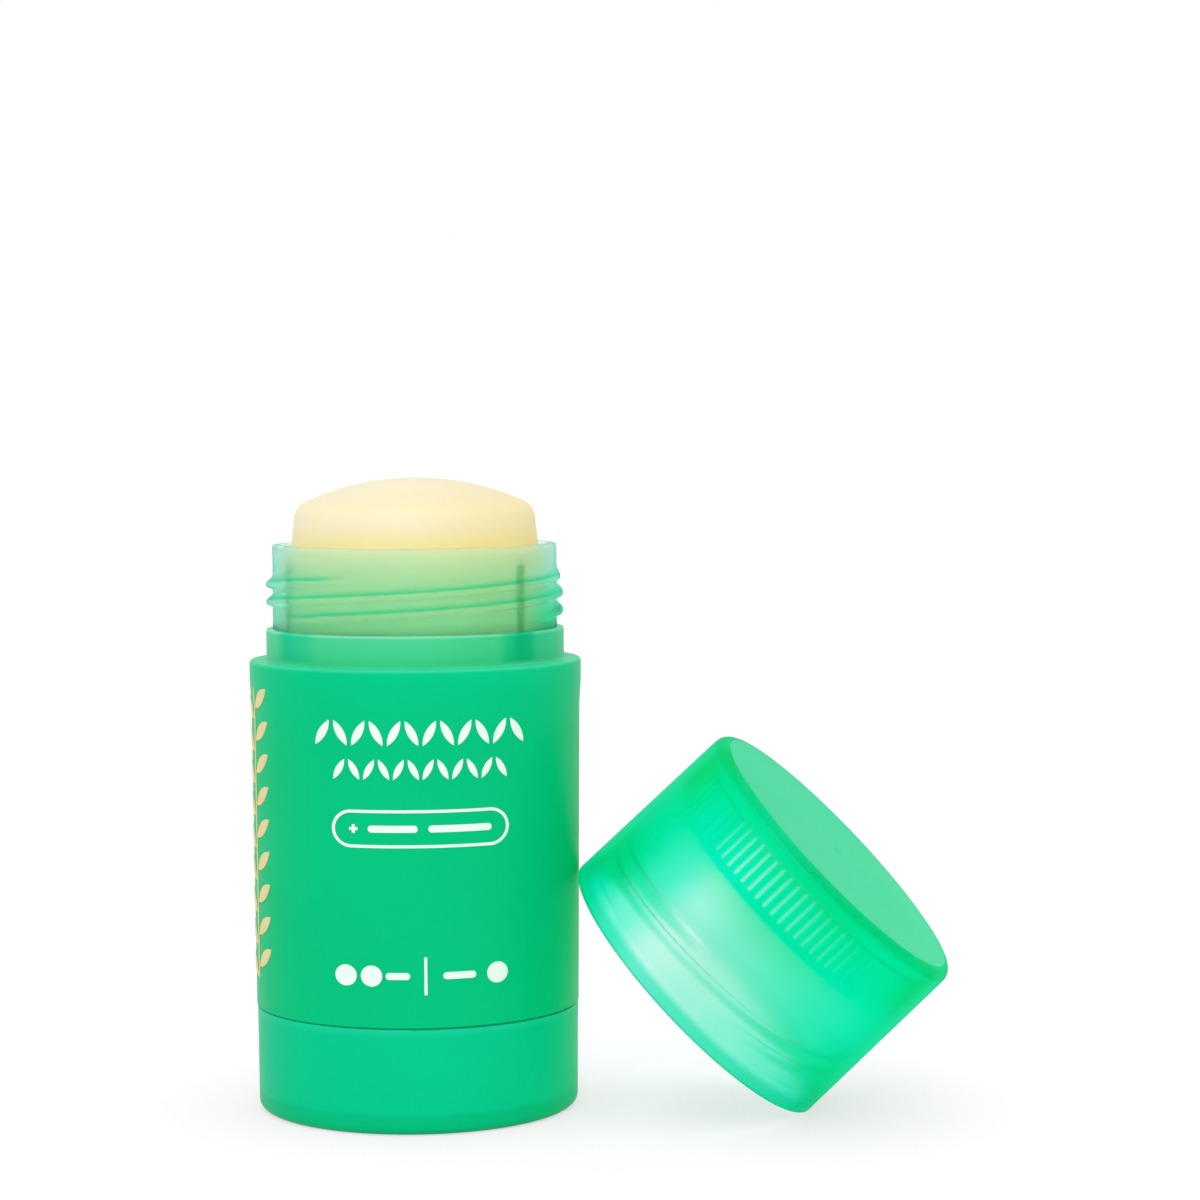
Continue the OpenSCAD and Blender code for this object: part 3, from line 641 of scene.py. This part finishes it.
def place_camera():
    camera = bpy.data.objects.new("camera", bpy.data.cameras.new("camera"))
    camera.data.sensor_width = SENSOR_MM
    camera.data.lens = SENSOR_MM * FOCAL_PX / PHOTO_PX
    camera.data.clip_start, camera.data.clip_end = 0.01, 100
    pitch = Matrix.Rotation(math.radians(90 + CAMERA_PITCH), 4, "X")
    roll = Matrix.Rotation(math.radians(CAMERA_ROLL), 4, "Z")
    camera.matrix_world = Matrix.Translation(CAMERA_AT) @ pitch @ roll
    bpy.context.scene.collection.objects.link(camera)
    bpy.context.scene.camera = camera


def seen_directly(tree):
    """1 for rays that show a surface or the background in the picture or in a gloss, 0 for its light."""
    path = add(tree, "ShaderNodeLightPath")
    seen = add(tree, "ShaderNodeMath", {0: path.outputs["Is Camera Ray"], 1: path.outputs["Is Glossy Ray"]},
               operation="MAXIMUM")
    return add(tree, "ShaderNodeMath", {0: seen.outputs[0], 1: path.outputs["Is Transmission Ray"]},
               operation="MAXIMUM").outputs[0]


def white_world(strength):
    world = bpy.data.worlds.new("world")
    bpy.context.scene.world = world
    world.use_nodes = True
    tree = world.node_tree
    tree.nodes.clear()
    level = add(tree, "ShaderNodeMapRange", {"Value": seen_directly(tree), "To Min": strength, "To Max": 1.0})
    light = add(tree, "ShaderNodeBackground", {"Color": (1, 1, 1, 1), "Strength": level.outputs[0]})
    out = add(tree, "ShaderNodeOutputWorld")
    tree.links.new(light.outputs[0], out.inputs[0])


def add_sun(name, direction, strength, angle):
    lamp = bpy.data.lights.new(name, "SUN")
    lamp.energy, lamp.angle = strength, math.radians(angle)
    obj = bpy.data.objects.new(name, lamp)
    obj.rotation_mode = "QUATERNION"
    obj.rotation_quaternion = Vector(direction).to_track_quat("-Z", "Y")
    bpy.context.scene.collection.objects.link(obj)


def floor_material():
    """White, with a shadow that is paler in the picture than on a real floor, and a painted contact shade
    where ambient occlusion dims its glow near the object.
    """
    material, tree, shader = new_material("floor_white")
    seen = seen_directly(tree)
    colour = add(tree, "ShaderNodeMapRange", {"Value": seen, "To Min": 0.9, "To Max": FLOOR_SEEN})
    tree.links.new(colour.outputs[0], shader.inputs["Base Color"])
    shader.inputs["Roughness"].default_value = 1
    shader.inputs["Specular IOR Level"].default_value = 0
    # Painted shade: ambient occlusion dims the floor's glow near the object
    painted_contact_shade = add(tree, "ShaderNodeAmbientOcclusion", {"Distance": FLOOR_REACH}, samples=8)
    glow = add(tree, "ShaderNodeMapRange", {"Value": painted_contact_shade.outputs["AO"], "From Max": FLOOR_OPEN,
                                            "To Min": FLOOR_PAINTED_SHADE_GLOW, "To Max": FLOOR_LIFT})
    lift = add(tree, "ShaderNodeMath", {0: seen, 1: glow.outputs[0]}, operation="MULTIPLY")
    shader.inputs["Emission Color"].default_value = (1, 1, 1, 1)
    tree.links.new(lift.outputs[0], shader.inputs["Emission Strength"])
    return material


def make_floor():
    mesh = bpy.data.meshes.new("floor")
    s = FLOOR_HALF
    mesh.from_pydata([(-s, -s, 0), (s, -s, 0), (s, s, 0), (-s, s, 0)], [], [(0, 1, 2, 3)])
    floor = bpy.data.objects.new("floor", mesh)
    floor.location.z = FLOOR_Z
    dress(floor, floor_material())
    bpy.context.scene.collection.objects.link(floor)


def ride_and_replace(piece, body, node):
    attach(piece, body)
    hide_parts(node)


def main():
    place_camera()
    white_world(WORLD_STRENGTH)
    add_sun("key", KEY_DIRECTION, KEY_STRENGTH, KEY_ANGLE)
    make_floor()

    skirt = lathe("barrel_skirt", skirt_profile(), columns_with_edges([]))
    dress(skirt, skirt_material())
    ride_and_replace(skirt, "barrel", "barrel")
    neck = lathe("barrel_neck", neck_profile(), rib_columns(RIB_W / 2), neck_shape)
    dress(neck, neck_material())
    ride_and_replace(neck, "barrel", "barrel")
    cap = make_cap()
    ride_and_replace(cap, "barrel", "cap")
    balm = make_balm()
    dress(balm, balm_material())
    ride_and_replace(balm, "elevator", "balm_stick")

    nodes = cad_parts
    dress(nodes["knob"], knob_material())
    inner = plain_material("inner_plastic", (232, 240, 232), 0.4)
    dress(nodes["lead_screw"], inner)
    dress(nodes["elevator"], inner)
    dress(nodes["front_print"], plain_material("white_ink", (240, 255, 248), 0.5))
    dress(nodes["side_print"], plain_material("yellow_ink", (236, 218, 158), 0.5))
    bpy.context.scene.view_settings.view_transform = "Standard"


main()
